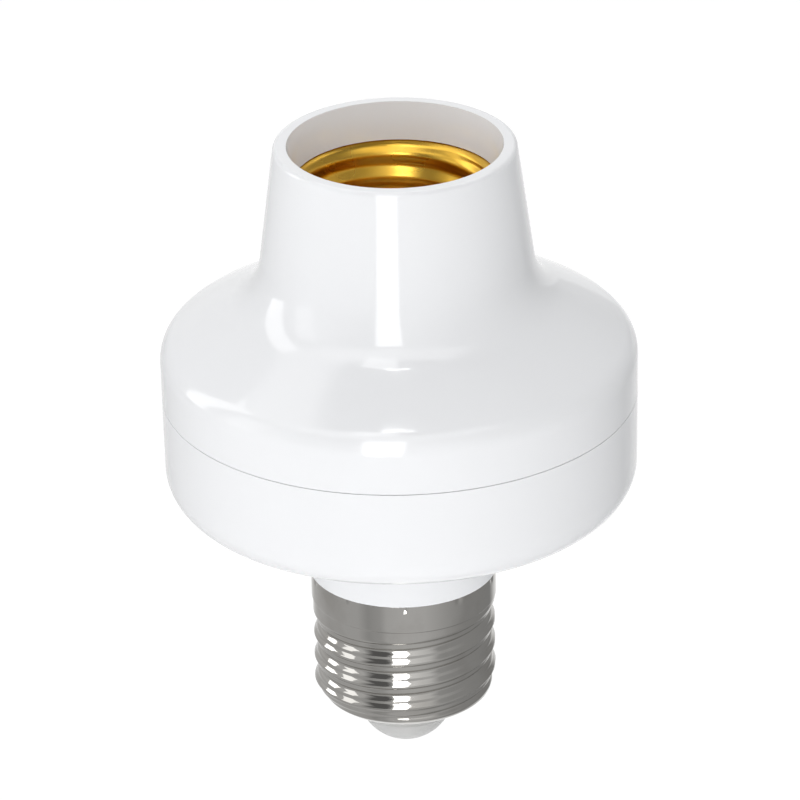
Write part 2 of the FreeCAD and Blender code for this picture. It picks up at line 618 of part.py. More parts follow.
def build_upper_cover():
    """Upper cover: side, dome and tapered neck in one shell, with mouth, ribs, bosses and snap groove."""
    body = new_body("upper_cover")
    turned(body, "Cover", [
        ("lip_radius + lip_gap", "rim_upper_level"),
        ("seam_radius", "rim_upper_level"),
        ("body_radius", "shoulder_level", "round", "shoulder_rounding"),
        ("neck_foot_radius", "neck_foot_level", "round", "neck_foot_rounding"),
        ("rim_radius", "rim_level", "round", "rim_rounding"),
        ("mouth_radius", "rim_level"),
        ("mouth_foot_radius", "mouth_level"),
        ("neck_bore_top_radius", "mouth_level"),
        ("neck_bore_foot_radius", "neck_bore_foot_level"),
        ("inner_side_radius", "dome_inner_level"),
        ("inner_side_radius", "rebate_top"),
        ("lip_radius + lip_gap", "rebate_top"),
    ])
    turned(body, "SnapGroove", [
        ("inner_side_radius - shell_wall / 2", "hook_level - hook_gap"),
        ("inner_side_radius + hook_barb + hook_gap", "hook_level - hook_gap"),
        ("inner_side_radius + hook_barb + hook_gap", "hook_level + hook_gap"),
        ("inner_side_radius", "hook_level + hook_groove_height"),
        ("inner_side_radius - shell_wall / 2", "hook_level + hook_groove_height"),
    ], cut=True)
    rib = outline(sketch_on(body, "RibProfile", "XZ_Plane"), [
        ("socket_radius + rib_gap", "mouth_level - rib_end_gap - rib_length"),
        ("neck_bore_foot_radius + shell_wall / 4", "mouth_level - rib_end_gap - rib_length"),
        ("neck_bore_top_radius + shell_wall / 4", "mouth_level - rib_end_gap"),
        ("socket_radius + rib_gap", "mouth_level - rib_end_gap"),
    ])
    doc.recompute()
    fin = raised(body, "Rib", rib, "rib_thickness", middle=True)
    around(body, "Ribs", [fin], "rib_count")
    block = outline(sketch_on(body, "BossProfile", "XZ_Plane"), [
        ("-1 * ( ear_offset - boss_width / 2 )", "base_seat"),
        ("-1 * ( ear_offset + boss_width / 2 )", "base_seat"),
        ("-1 * ( ear_offset + boss_width / 2 )", "boss_outer_level"),
        ("-1 * ( ear_offset - boss_width / 2 )", "boss_inner_level"),
    ])
    doc.recompute()
    boss = raised(body, "Boss", block, "boss_width", middle=True)
    bore = sketch_on(body, "BossPilotProfile", "XY_Plane", "base_seat")
    ring(bore, "-1 * ear_offset", "0", "base_screw_radius + rivet_gap")
    doc.recompute()
    hole = cut_out(body, "BossPilot", bore, "boss_pilot_depth", up=True)
    around(body, "Bosses", [boss, hole], "ear_count")


def build_socket_shell():
    """Threaded brass shell: floor with a hole, plain wall, thread and flared lip."""
    body = new_body("socket_shell")
    turned(body, "SocketShell", [
        ("socket_hole_radius", "base_seat"),
        ("socket_radius", "base_seat"),
        ("socket_radius", "socket_top - socket_lip_height"),
        ("socket_lip_radius", "socket_top - socket_sheet"),
        ("socket_lip_radius", "socket_top"),
        ("mouth_foot_radius", "socket_top"),
        ("socket_crest_radius", "socket_top - socket_lip_height"),
        ("socket_crest_radius", "socket_relief"),
        ("socket_root_radius", "socket_relief - thread_depth / 2"),
        ("socket_root_radius", "socket_floor_top"),
        ("socket_hole_radius", "socket_floor_top"),
    ])
    thread(body, "SocketThread", "socket_crest_radius", "socket_land", "socket_thread_start",
           "socket_thread_turns", outwards=True)
    floor = sketch_on(body, "RivetHoleProfile", "XY_Plane", "socket_floor_top")
    ring(floor, "0", "shell_rivet_offset", "shell_rivet_radius + rivet_gap")
    doc.recompute()
    hole = cut_out(body, "RivetHole", floor, "socket_sheet")
    around(body, "RivetHoles", [hole], "shell_rivet_count")


def build_socket_base():
    """Moulded base of the socket: plate with ears, hub with the contact's bore, and pegs for the strip."""
    body = new_body("socket_base")
    turned(body, "Base", [
        ("hub_bore_radius", "base_underside"),
        ("base_radius", "base_underside"),
        ("base_radius", "base_seat"),
        ("hub_radius", "base_seat"),
        ("hub_radius", "hub_top - hub_chamfer"),
        ("hub_radius - hub_chamfer", "hub_top"),
        ("hub_mouth_radius", "hub_top"),
        ("hub_mouth_radius", "hub_top - hub_lip"),
        ("hub_bore_radius", "hub_top - hub_lip"),
    ])
    ear = sketch_on(body, "EarProfile", "XY_Plane", "base_underside")
    ring(ear, "-1 * ear_offset", "0", "ear_radius")
    doc.recompute()
    lug = raised(body, "Ear", ear, "base_plate")
    web = outline(sketch_on(body, "WebProfile", "XY_Plane", "base_underside"), [
        ("-1 * ear_offset", "-1 * ear_radius"),
        ("-1 * ( base_radius - ear_radius )", "-1 * ear_radius"),
        ("-1 * ( base_radius - ear_radius )", "ear_radius"),
        ("-1 * ear_offset", "ear_radius"),
    ])
    doc.recompute()
    arm = raised(body, "EarWeb", web, "base_plate")
    bore = sketch_on(body, "EarHoleProfile", "XY_Plane", "base_seat")
    ring(bore, "-1 * ear_offset", "0", "base_screw_radius + rivet_gap")
    doc.recompute()
    hole = cut_out(body, "EarHole", bore, "base_plate")
    around(body, "Ears", [lug, arm, hole], "ear_count")
    seat = sketch_on(body, "RivetHoleProfile", "XY_Plane", "base_seat")
    ring(seat, "0", "shell_rivet_offset", "shell_rivet_radius + rivet_gap")
    doc.recompute()
    rivet = cut_out(body, "RivetHole", seat, "base_plate")
    around(body, "RivetHoles", [rivet], "shell_rivet_count")
    peg = sketch_on(body, "PegProfile", "XY_Plane", "base_underside")
    ring(peg, "peg_offset", "0", "peg_radius")
    doc.recompute()
    raised(body, "Peg", peg, "peg_length", down=True)


def build_centre_contact():
    """Brass centre contact: domed stem, collar under the hub's lip and spigot inside the spring."""
    body = new_body("centre_contact")
    turned(body, "Plunger", [
        ("0", "plunger_collar_foot - plunger_spigot_length"),
        ("plunger_spigot_radius", "plunger_collar_foot - plunger_spigot_length"),
        ("plunger_spigot_radius", "plunger_collar_foot"),
        ("plunger_collar", "plunger_collar_foot"),
        ("plunger_collar", "plunger_shoulder"),
        ("plunger_radius", "plunger_shoulder"),
        ("plunger_radius", "plunger_top - plunger_dome", "about", "plunger_top - plunger_sphere"),
        ("0", "plunger_top"),
    ])


def build_contact_spring():
    """Coil spring under the centre contact. Its thin wire has six sides instead of a round section."""
    body = new_body("contact_spring")
    section = outline(sketch_on(body, "WireProfile", "XZ_Plane"), [
        ("spring_radius - spring_wire", "spring_foot"),
        ("spring_radius - spring_wire / 2", "spring_foot - spring_wire"),
        ("spring_radius + spring_wire / 2", "spring_foot - spring_wire"),
        ("spring_radius + spring_wire", "spring_foot"),
        ("spring_radius + spring_wire / 2", "spring_foot + spring_wire"),
        ("spring_radius - spring_wire / 2", "spring_foot + spring_wire"),
    ])
    doc.recompute()
    coil = body.newObject("PartDesign::AdditiveHelix", "Coil")
    coil.Profile = section
    coil.ReferenceAxis = (section, ["V_Axis"])
    coil.Mode = "height-turns-angle"
    coil.setExpression("Height", linked("spring_head - spring_foot"))
    coil.setExpression("Turns", "Sizes.spring_turns")
    doc.recompute()


def build_contact_strip():
    """Brass strip that closes the bore below the spring, with its hole over the moulded peg."""
    body = new_body("contact_strip")
    flat = outline(sketch_on(body, "StripProfile", "XY_Plane", "strip_underside"), [
        ("-1 * strip_back", "-1 * strip_width / 2"),
        ("strip_length - strip_back", "-1 * strip_width / 2"),
        ("strip_length - strip_back", "strip_width / 2"),
        ("-1 * strip_back", "strip_width / 2"),
    ])
    doc.recompute()
    raised(body, "Strip", flat, "strip_thickness")
    hole = sketch_on(body, "PegHoleProfile", "XY_Plane", "base_underside")
    ring(hole, "peg_offset", "0", "peg_radius + rivet_gap")
    doc.recompute()
    cut_out(body, "PegHole", hole, "strip_thickness")


def build_circuit_board():
    """Round circuit board with the hole for the leads and its screw holes."""
    body = new_body("circuit_board")
    disc = sketch_on(body, "BoardProfile", "XY_Plane", "board_underside")
    ring(disc, "0", "0", "board_radius")
    ring(disc, "0", "0", "board_hole_radius")
    doc.recompute()
    raised(body, "Board", disc, "board_thickness")
    screw = sketch_on(body, "ScrewHoleProfile", "XY_Plane", "board_top")
    ring(screw, "0", "board_screw_offset", "board_screw_radius + rivet_gap")
    doc.recompute()
    hole = cut_out(body, "ScrewHole", screw, "board_thickness")
    around(body, "ScrewHoles", [hole], "board_screw_count")


def build_block(name):
    """A moulded block that stands on the board, placed and sized by its own five values."""
    body = new_body(name)
    left, right = ["board_radius * ( %s_x %s %s_length / 2 )" % (name, sign, name) for sign in "-+"]
    near, far = ["board_radius * ( %s_y %s %s_width / 2 )" % (name, sign, name) for sign in "-+"]
    base = outline(sketch_on(body, "Footprint", "XY_Plane", "board_top"), [
        (left, near),
        (right, near),
        (right, far),
        (left, far),
    ])
    doc.recompute()
    solid = raised(body, "Block", base, "%s_height" % name)
    edges = [
        "Edge%d" % at for at, edge in enumerate(solid.Shape.Edges, 1)
        if abs(edge.BoundBox.ZLength - number("%s_height" % name)) < SAME_LENGTH
    ]
    fillet = body.newObject("PartDesign::Fillet", "UprightEdges")
    fillet.Base = (solid, edges)
    fillet.setExpression("Radius", "Sizes.block_rounding")
    doc.recompute()


def build_smoothing_capacitor():
    """Round aluminium capacitor standing on the board, with the crimp near its foot."""
    label = "smoothing_capacitor"
    body = new_body(label)
    turned(body, "Can", [
        ("0", "board_top"),
        ("can_radius", "board_top"),
        ("can_radius", "board_top + can_crimp_level - can_crimp"),
        ("can_radius - can_crimp", "board_top + can_crimp_level"),
        ("can_radius", "board_top + can_crimp_level + can_crimp"),
        ("can_radius", "board_top + can_height"),
        ("0", "board_top + can_height"),
    ])
    body.setExpression("Placement.Base.x", linked("board_radius * can_x"))
    body.setExpression("Placement.Base.y", linked("board_radius * can_y"))


def build_surge_disc():
    """Round surge absorber standing on edge on the board."""
    body = new_body("surge_disc")
    coin = sketch_on(body, "DiscProfile", "XZ_Plane", "-1 * board_radius * surge_y")
    ring(coin, "board_radius * surge_x", "board_top + surge_radius", "surge_radius")
    doc.recompute()
    raised(body, "Disc", coin, "surge_thickness", middle=True)


def cylinder(name, radius, height, x, y, z):
    """A plain cylinder tied to the sheet."""
    solid = doc.addObject("Part::Cylinder", name)
    solid.setExpression("Radius", linked(radius))
    solid.setExpression("Height", linked(height))
    solid.Placement = Placement(Vector(0, 0, 0), Rotation())
    for axis, formula in (("x", x), ("y", y), ("z", z)):
        solid.setExpression("Placement.Base." + axis, linked(formula))
    return solid


def fastener_group(label, count, offset, first, parts):
    """Equal fasteners round Z as one group. Each part of a fastener is (radius, height, level)."""
    group = []
    total = round(number(count))
    for at in range(total):
        angle = first + at * 360.0 / total
        pieces = []
        for number_of_part, (radius, height, level) in enumerate(parts):
            name = "%s_%d_%d" % (label, at, number_of_part)
            x = "%s * %.9f" % (offset, math.cos(math.radians(angle)))
            y = "%s * %.9f" % (offset, math.sin(math.radians(angle)))
            pieces.append(cylinder(name, radius, height, x, y, level))
        whole = doc.addObject("Part::MultiFuse", "%s_%d" % (label, at))
        whole.Shapes = pieces
        group.append(whole)
    compound = doc.addObject("Part::Compound", label)
    compound.Links = group
    compound.Label = label
    doc.recompute()
    return compound


def route(points):
    """A path of straight runs joined by tangent arcs as large as the runs allow."""
    edges = []
    start = points[0]
    for before, corner, after in zip(points, points[1:], points[2:]):
        into = (corner - before).normalize()
        out = (after - corner).normalize()
        turn = into.getAngle(out)
        reach = RUN_SHARE * min(before.distanceToPoint(corner), corner.distanceToPoint(after))
        radius = reach / math.tan(turn / 2)
        first = corner - into * reach
        last = corner + out * reach
        inward = (out - into).normalize()
        middle = corner + inward * (radius / math.cos(turn / 2))
        top = middle - inward * radius
        edges.append(Part.LineSegment(start, first).toShape())
        edges.append(Part.Arc(first, top, last).toShape())
        start = last
    edges.append(Part.LineSegment(start, points[-1]).toShape())
    return Part.Wire(edges)


def wire(label, points, radius):
    """A round wire along a route."""
    path = route(points)
    along = (points[1] - points[0]).normalize()
    section = Part.Wire([Part.makeCircle(radius, points[0], along)])
    lead = doc.addObject("Part::Feature", label)
    lead.Label = label
    lead.Shape = path.makePipeShell([section], True, False)
    lead.Placement = Placement()
    return lead


def build_leads():
    """Insulated leads: tip contact and cap to the board below, board to the socket's contacts above."""
    level = {name: number(name) for name in (
        "nose_top", "tip_collar_height", "board_underside", "board_top", "spigot_end", "floor_level",
        "strip_underside", "base_underside", "shell_rivet_head_height", "cap_bore_radius", "lead_radius",
        "shell_rivet_offset", "lead_foot", "tip_lead_x", "cap_lead_x", "cap_lead_dip",
        "live_lead_x", "live_lead_y", "lead_gap")}
    at = level.get
    tip_start = at("nose_top") + at("tip_collar_height")
    wire("tip_lead", [
        Vector(0, 0, tip_start),
        Vector(0, 0, at("floor_level") - at("lead_foot")),
        Vector(at("tip_lead_x"), 0, at("floor_level")),
        Vector(at("tip_lead_x"), 0, at("board_underside")),
    ], at("lead_radius"))
    edge = at("cap_bore_radius") - at("lead_gap")
    wire("cap_lead", [
        Vector(-edge, 0, at("spigot_end") - at("cap_lead_dip")),
        Vector(-at("cap_lead_x"), 0, at("spigot_end") - at("cap_lead_dip")),
        Vector(-at("cap_lead_x"), 0, at("board_underside")),
    ], at("lead_radius"))
    wire("live_lead", [
        Vector(at("live_lead_x"), at("live_lead_y"), at("board_top")),
        Vector(at("live_lead_x"), at("live_lead_y"), at("strip_underside")),
    ], at("lead_radius"))
    wire("return_lead", [
        Vector(0, -at("shell_rivet_offset"), at("board_top")),
        Vector(0, -at("shell_rivet_offset"), at("base_underside") - at("shell_rivet_head_height")),
    ], at("lead_radius"))


def build_antenna():
    """Aerial wire: it rises from the board and runs across it, clear of everything."""
    level = number("board_top")
    left = number("board_radius * antenna_left")
    right = number("board_radius * antenna_right")
    across = number("board_radius * antenna_y")
    rise = number("antenna_stand")
    wire("antenna_wire", [
        Vector(left, across, level),
        Vector(left, across, level + rise),
        Vector(right, across, level + rise),
    ], number("antenna_wire_radius"))


def check_document():
    """Stops where an object is failed."""
    for item in doc.Objects:
        if {"Invalid", "Error"} & set(item.State):
            raise RuntimeError("%s is %s" % (item.Name, item.State))


def write_parts(labels):
    """Writes one file for each piece."""
    os.makedirs("parts", exist_ok=True)
    for label in labels:
        piece = doc.getObjectsByLabel(label)[0]
        shape = piece.Shape
        if shape.isNull() or not shape.isValid():
            raise RuntimeError(label + " has no valid shape")
        shape.exportStep(os.path.join("parts", label + ".step"))
        print("%-22s %2d solids %10.2f mm3" % (label, len(shape.Solids), shape.Volume))


BLOCKS = ["relay", "dropper_capacitor", "bridge_rectifier", "receiver_module", "control_chip",
          "fuse_resistor"]
TURNED = ["screw_cap", "cap_nose", "tip_contact", "lower_housing", "upper_cover", "socket_shell",
          "socket_base", "centre_contact", "contact_spring", "contact_strip", "circuit_board",
          "smoothing_capacitor", "surge_disc"]
GROUPS = ["shell_rivets", "base_screws", "board_screws"]
WIRES = ["tip_lead", "cap_lead", "live_lead", "return_lead", "antenna_wire"]

fill_sheet()
build_screw_cap()
build_nose()
build_tip_contact()
build_lower_housing()
build_upper_cover()
build_socket_shell()
build_socket_base()
build_centre_contact()
build_contact_spring()
build_contact_strip()
build_circuit_board()
build_smoothing_capacitor()
build_surge_disc()
for block_name in BLOCKS:
    build_block(block_name)
fastener_group("shell_rivets", "shell_rivet_count", "shell_rivet_offset", ALONG_Y_ANGLE, [
    ("shell_rivet_head", "shell_rivet_head_height", "base_underside - shell_rivet_head_height"),
    ("shell_rivet_radius", "base_plate + socket_sheet", "base_underside"),
    ("shell_rivet_head", "shell_rivet_head_height", "socket_floor_top"),
])
fastener_group("base_screws", "ear_count", "ear_offset", AGAINST_X_ANGLE, [
    ("base_screw_head", "base_screw_head_height", "base_underside - base_screw_head_height"),
    ("base_screw_radius", "base_screw_length", "base_underside"),
])
fastener_group("board_screws", "board_screw_count", "board_screw_offset", ALONG_Y_ANGLE, [
    ("board_screw_head", "board_screw_head_height", "board_top"),
    ("board_screw_radius", "board_screw_length", "board_top - board_screw_length"),
])
build_leads()
build_antenna()
doc.removeObject(working.Name)
doc.recompute()
check_document()
write_parts(TURNED + BLOCKS + GROUPS + WIRES)
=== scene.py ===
"""Looks of a screw-base lamp socket adapter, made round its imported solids.

Every shape is in metres in the solids' own frame: the lamp axis is Z, Z = 0 is the lowest point of
the tip contact, and the photographed side faces -Y. Sizes below are in millimetres.
"""
import math

import bmesh
import bpy
import numpy as np
from mathutils import Matrix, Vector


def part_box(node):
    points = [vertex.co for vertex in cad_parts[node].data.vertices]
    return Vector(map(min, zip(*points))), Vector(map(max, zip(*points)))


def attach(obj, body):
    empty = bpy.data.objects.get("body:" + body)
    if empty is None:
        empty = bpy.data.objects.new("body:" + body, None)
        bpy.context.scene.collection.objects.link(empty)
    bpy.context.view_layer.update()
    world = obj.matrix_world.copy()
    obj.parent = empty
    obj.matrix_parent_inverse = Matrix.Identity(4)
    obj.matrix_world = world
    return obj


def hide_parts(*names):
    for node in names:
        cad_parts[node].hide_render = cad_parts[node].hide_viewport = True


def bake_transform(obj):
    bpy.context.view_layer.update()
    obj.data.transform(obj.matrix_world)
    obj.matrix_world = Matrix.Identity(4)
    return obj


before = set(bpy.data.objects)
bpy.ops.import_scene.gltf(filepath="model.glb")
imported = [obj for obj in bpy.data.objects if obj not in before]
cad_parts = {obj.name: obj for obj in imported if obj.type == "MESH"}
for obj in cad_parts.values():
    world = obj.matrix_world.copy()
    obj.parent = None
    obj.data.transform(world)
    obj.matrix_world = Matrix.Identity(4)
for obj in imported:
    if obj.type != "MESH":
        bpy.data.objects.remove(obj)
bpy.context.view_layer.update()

MM = 0.001
MERGE = 1e-6          # metres within which a mesh's corners are one
ARC_STEP = 7.0        # about the angle between the cuts of an arc, in degrees
SMOOTH_TURN = 15.0    # degrees within which pieces of an outline join, and a face belongs to a piece
NEAR = 0.04           # how far a turned face's corner may lie from its outline
THREAD_COLUMNS = 320  # columns round a skin with a thread
THREAD_RUN = 0.3      # step along an outline that carries a thread
NOSE_COLUMNS = 96     # columns round the nose's skin
PITCH = 3.629         # seven turns to the inch
THREAD_DEPTH = 0.95   # crest to root
ADAPTER = "adapter"


# Shapes

def rounded(corners, run=1.2):
    """Closed outline through (radius, height, rounding) corners, as an array of points in a plane.

    Each corner with a rounding becomes an arc that touches both its lines: its centre lies on the
    corner's bisector at rounding / sin(half the angle), and it is cut about every ARC_STEP. Straight
    runs are divided into equal pieces, each shorter than twice run.
    """
    count = len(corners)
    at = np.array([c[:2] for c in corners], float)
    arcs = []
    for i, corner in enumerate(corners):
        back = at[i - 1] - at[i]
        ahead = at[(i + 1) % count] - at[i]
        back /= np.linalg.norm(back)
        ahead /= np.linalg.norm(ahead)
        radius = corner[2] if len(corner) > 2 else 0.0
        if radius == 0.0:
            arcs.append(at[i:i + 1])
            continue
        half = math.acos(float(np.clip(back @ ahead, -1, 1))) / 2
        bisector = (back + ahead) / np.linalg.norm(back + ahead)
        centre = at[i] + bisector * radius / math.sin(half)
        first = at[i] + back * radius / math.tan(half) - centre
        last = at[i] + ahead * radius / math.tan(half) - centre
        turn = math.atan2(first[0] * last[1] - first[1] * last[0], first @ last)
        steps = max(3, int(abs(turn) / math.radians(ARC_STEP)))
        angle = np.linspace(0, turn, steps + 1)[:, None]
        side = np.array([-first[1], first[0]])
        arcs.append(centre + np.cos(angle) * first + np.sin(angle) * side)
    pieces = []
    for i, arc in enumerate(arcs):
        pieces.append(arc)
        start = arc[-1]
        end = arcs[(i + 1) % count][0]
        parts = max(1, int(np.linalg.norm(end - start) / run))
        share = np.arange(1, parts)[:, None] / parts
        pieces.append(start + share * (end - start))
    return np.concatenate(pieces)


def groove(height, angle, start, turns, fade_in, fade_out, ripple):
    """Depth from 0 to 1 of a right-hand screw groove at a height and an angle round the axis.

    The groove's middle climbs by one pitch a turn from start. Across it the depth is half of
    1 + cos(2 pi distance / pitch), which is the rolled knuckle form, with three waves of a ripple to
    the pitch, a share of the depth high, that the rolls leave. Along it the depth fades in and out
    over a share of a turn.
    """
    turn = angle / (2 * math.pi)
    climbed = turn + np.round((height - start) / PITCH - turn)
    across = height - start - PITCH * climbed
    ends = np.clip(climbed / fade_in, 0, 1) * np.clip((turns - climbed) / fade_out, 0, 1)
    ends = ends * ends * (3 - 2 * ends)
    wave = 2 * math.pi * across / PITCH
    return ends * (0.5 + 0.5 * np.cos(wave) + ripple * (1 + np.cos(3 * wave))) / (1 + 2 * ripple)


def revolve(outline, columns, radius_at=None):
    """Grid of points: an outline (radius, height) carried round Z, rows along it, columns round it.

    radius_at(radius, height, angle) may change each point's radius before it is placed at
    (radius cos angle, radius sin angle, height).
    """
    angle = np.arange(columns) * 2 * math.pi / columns
    radius = np.repeat(outline[:, :1], columns, axis=1)
    height = np.repeat(outline[:, 1:], columns, axis=1)
    angle = np.repeat(angle[None, :], len(outline), axis=0)
    if radius_at:
        radius = radius_at(radius, height, angle)
    return np.stack([radius * np.cos(angle), radius * np.sin(angle), height], axis=2)


def coil(radius, wire, foot, head, turns, rows_a_turn=36, columns=12):
    """Grid of points on round wire wound right-handed up Z, each end row drawn to a point.

    The wire's middle is at (radius cos t, radius sin t) and climbs evenly with t from foot to head. A
    row is a circle about it that lies in the outward and upward directions.
    """
    angle = np.linspace(0, 2 * math.pi * turns, int(rows_a_turn * turns) + 1)
    angle = np.concatenate([angle[:1], angle, angle[-1:]])[:, None]
    thick = np.full(angle.shape, wire)
    thick[[0, -1]] = 0
    round_wire = np.arange(columns) * 2 * math.pi / columns
    reach = radius + thick * np.cos(round_wire)
    height = foot + (head - foot) * angle / angle[-1] + thick * np.sin(round_wire)
    return np.stack([reach * np.cos(angle), reach * np.sin(angle), height], axis=2)


def stand_in(solid, mesh, material):
    """An object with this mesh and material, which stands for a solid."""
    mesh.materials.clear()
    mesh.materials.append(material)
    piece = bpy.data.objects.new(solid + "_skin", mesh)
    bpy.context.scene.collection.objects.link(piece)
    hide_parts(solid)
    return piece


def skin(solid, grid, material, open_ended=False):
    """A smooth mesh with outward faces, from a grid of points, that stands for a solid.

    The grid is closed round its columns, and from its last row to its first unless it is open-ended.
    Then its end rows are each one point, whose doubles are merged.
    """
    rows, columns = grid.shape[:2]
    index = np.arange(rows * columns).reshape(rows, columns)
    below = np.roll(index, -1, axis=0)
    faces = np.stack([index, np.roll(index, -1, axis=1), np.roll(below, -1, axis=1), below], axis=2)
    if open_ended:
        faces = faces[:-1]
    mesh = bpy.data.meshes.new(solid + "_skin")
    mesh.from_pydata(grid.reshape(-1, 3) * MM, [], faces.reshape(-1, 4))
    work = bmesh.new()
    work.from_mesh(mesh)
    if open_ended:
        bmesh.ops.remove_doubles(work, verts=work.verts, dist=MERGE)
    bmesh.ops.recalc_face_normals(work, faces=work.faces)
    work.to_mesh(mesh)
    work.free()
    mesh.shade_smooth()
    return stand_in(solid, mesh, material)


def turned_normal(outline, facing, radius, height):
    """Outward normal (radial, upward) of a closed outline where it passes each point, and how near.

    Each point takes the nearest piece of the outline that faces within SMOOTH_TURN of its own facing.
    The normal turns evenly along the piece, from its one end to the other, unless the outline has a
    corner of over SMOOTH_TURN there.
    """
    alike = math.cos(math.radians(SMOOTH_TURN))
    along = np.roll(outline, -1, axis=0) - outline
    length = np.hypot(*along.T)
    ahead = along / length[:, None]
    area = np.sum(outline[:, 0] * along[:, 1] - outline[:, 1] * along[:, 0])
    flat = np.sign(area) * np.stack([ahead[:, 1], -ahead[:, 0]], axis=1)
    before = np.roll(flat, 1, axis=0)
    joined = np.sum(flat * before, axis=1)[:, None] > alike
    start = np.where(joined, flat + before, flat)
    end = np.where(np.roll(joined, -1, axis=0), flat + np.roll(flat, -1, axis=0), flat)
    start /= np.linalg.norm(start, axis=1)[:, None]
    end /= np.linalg.norm(end, axis=1)[:, None]
    points = np.stack([radius, height], axis=1)
    share = np.clip(np.einsum("psk,sk->ps", points[:, None] - outline, ahead) / length, 0, 1)
    gap = np.linalg.norm(points[:, None] - outline - share[..., None] * along, axis=2)
    gap = np.where(facing @ flat.T > alike, gap, np.inf)
    best = np.argmin(gap, axis=1)
    row = np.arange(len(points))
    part = share[row, best][:, None]
    normal = start[best] * (1 - part) + end[best] * part
    return normal / np.linalg.norm(normal, axis=1)[:, None], gap[row, best]


def turned_copy(solid, outline, material):
    """A merged copy of a solid that stands for it, shaded on its turned faces by the outline's normal.

    The copy is triangles. A triangle's corner takes the outline's normal where it lies within NEAR of
    the outline, else the triangle's own.
    """
    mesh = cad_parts[solid].data.copy()
    work = bmesh.new()
    work.from_mesh(mesh)
    bmesh.ops.remove_doubles(work, verts=work.verts, dist=MERGE)
    work.to_mesh(mesh)
    work.free()
    mesh.shade_smooth()
    place = np.array([mesh.vertices[loop.vertex_index].co for loop in mesh.loops]) / MM
    face = np.repeat(np.array([polygon.normal for polygon in mesh.polygons]), 3, axis=0)
    radius = np.hypot(place[:, 0], place[:, 1])
    outward = place[:, :2] / radius[:, None]
    facing = np.stack([np.sum(outward * face[:, :2], axis=1), face[:, 2]], axis=1)
    normal, gap = turned_normal(outline, facing, radius, place[:, 2])
    turned = np.concatenate([normal[:, :1] * outward, normal[:, 1:]], axis=1)
    mesh.normals_split_custom_set(np.where((gap < NEAR)[:, None], turned, face).tolist())
    return stand_in(solid, mesh, material)


# Materials

# Sockets of the mix node by number, because those for colours and for numbers share their names
COLOUR_A = 6
COLOUR_B = 7
COLOUR_RESULT = 2
NUMBER_A = 2
NUMBER_B = 3


def colour(code):
    """Linear red, green, blue and alpha of an sRGB hex colour such as F2F3F5."""
    parts = np.array([int(code[i:i + 2], 16) for i in (0, 2, 4)]) / 255
    low = parts / 12.92
    high = ((parts + 0.055) / 1.055) ** 2.4
    return (*np.where(parts <= 0.04045, low, high).tolist(), 1.0)


def node(tree, kind, settings=None, **links):
    """Adds a node, sets its properties and sockets, and links inputs named in links to outputs."""
    made = tree.nodes.new(kind)
    for name, value in (settings or {}).items():
        if isinstance(name, int) or name in made.inputs:
            made.inputs[name].default_value = value
        else:
            setattr(made, name, value)
    for name, output in links.items():
        tree.links.new(output, made.inputs[name.replace("_", " ")])
    return made


def finish(name, base, rough, metal=0.0, **sockets):
    """A material with its shader's constants set on the shader itself; returns it, its tree and shader."""
    material = bpy.data.materials.new(name)
    material.use_nodes = True
    tree = material.node_tree
    shader = tree.nodes["Principled BSDF"]
    shader.inputs["Base Color"].default_value = colour(base)
    shader.inputs["Roughness"].default_value = rough
    shader.inputs["Metallic"].default_value = metal
    for socket, value in sockets.items():
        shader.inputs[socket.replace("_", " ")].default_value = value
    return material, tree, shader


def glossy_abs():
    """White ABS from a polished mould: clear gloss over a body colour, with the faint waviness that
    shrinkage leaves over a few millimetres."""
    material, tree, shader = finish("glossy_white_abs", "F0F1F3", 0.07, IOR=1.53, Specular_IOR_Level=0.5)
    place = node(tree, "ShaderNodeTexCoord")
    wave = node(tree, "ShaderNodeTexNoise", {"Scale": 90.0, "Detail": 2.0, "Roughness": 0.4},
                Vector=place.outputs["Object"])
    bump = node(tree, "ShaderNodeBump", {"Strength": 0.05, "Distance": 0.00015},
                Height=wave.outputs["Fac"])
    tree.links.new(bump.outputs["Normal"], shader.inputs["Normal"])
    haze = node(tree, "ShaderNodeTexNoise", {"Scale": 25.0, "Detail": 3.0}, Vector=place.outputs["Object"])
    spread = node(tree, "ShaderNodeMapRange", {"To Min": 0.05, "To Max": 0.11}, Value=haze.outputs["Fac"])
    tree.links.new(spread.outputs["Result"], shader.inputs["Roughness"])
    return material


def rolled_metal(name, base, dark, rough_low, rough_high):
    """Plated or bare sheet rolled to shape: mirror-like, with fine lines round the axis from the
    roller, and a little cloudiness where it has been handled."""
    material, tree, shader = finish(name, base, rough_low, metal=1.0)
    place = node(tree, "ShaderNodeTexCoord")
    squeeze = node(tree, "ShaderNodeMapping", {"Scale": (1.0, 1.0, 14.0)}, Vector=place.outputs["Object"])
    lines = node(tree, "ShaderNodeTexNoise", {"Scale": 260.0, "Detail": 3.0},
                 Vector=squeeze.outputs["Vector"])
    cloud = node(tree, "ShaderNodeTexNoise", {"Scale": 140.0, "Detail": 3.0}, Vector=place.outputs["Object"])
    tint = node(tree, "ShaderNodeMix", {"data_type": "RGBA", COLOUR_A: colour(base), COLOUR_B: colour(dark)})
    share = node(tree, "ShaderNodeMapRange", {"From Min": 0.45, "From Max": 0.75},
                 Value=cloud.outputs["Fac"])
    tree.links.new(share.outputs["Result"], tint.inputs[0])
    tree.links.new(tint.outputs[COLOUR_RESULT], shader.inputs["Base Color"])
    spread = node(tree, "ShaderNodeMapRange", {"To Min": rough_low, "To Max": rough_high},
                  Value=cloud.outputs["Fac"])
    tree.links.new(spread.outputs["Result"], shader.inputs["Roughness"])
    bump = node(tree, "ShaderNodeBump", {"Strength": 0.08, "Distance": 0.00005}, Height=lines.outputs["Fac"])
    tree.links.new(bump.outputs["Normal"], shader.inputs["Normal"])
    return material


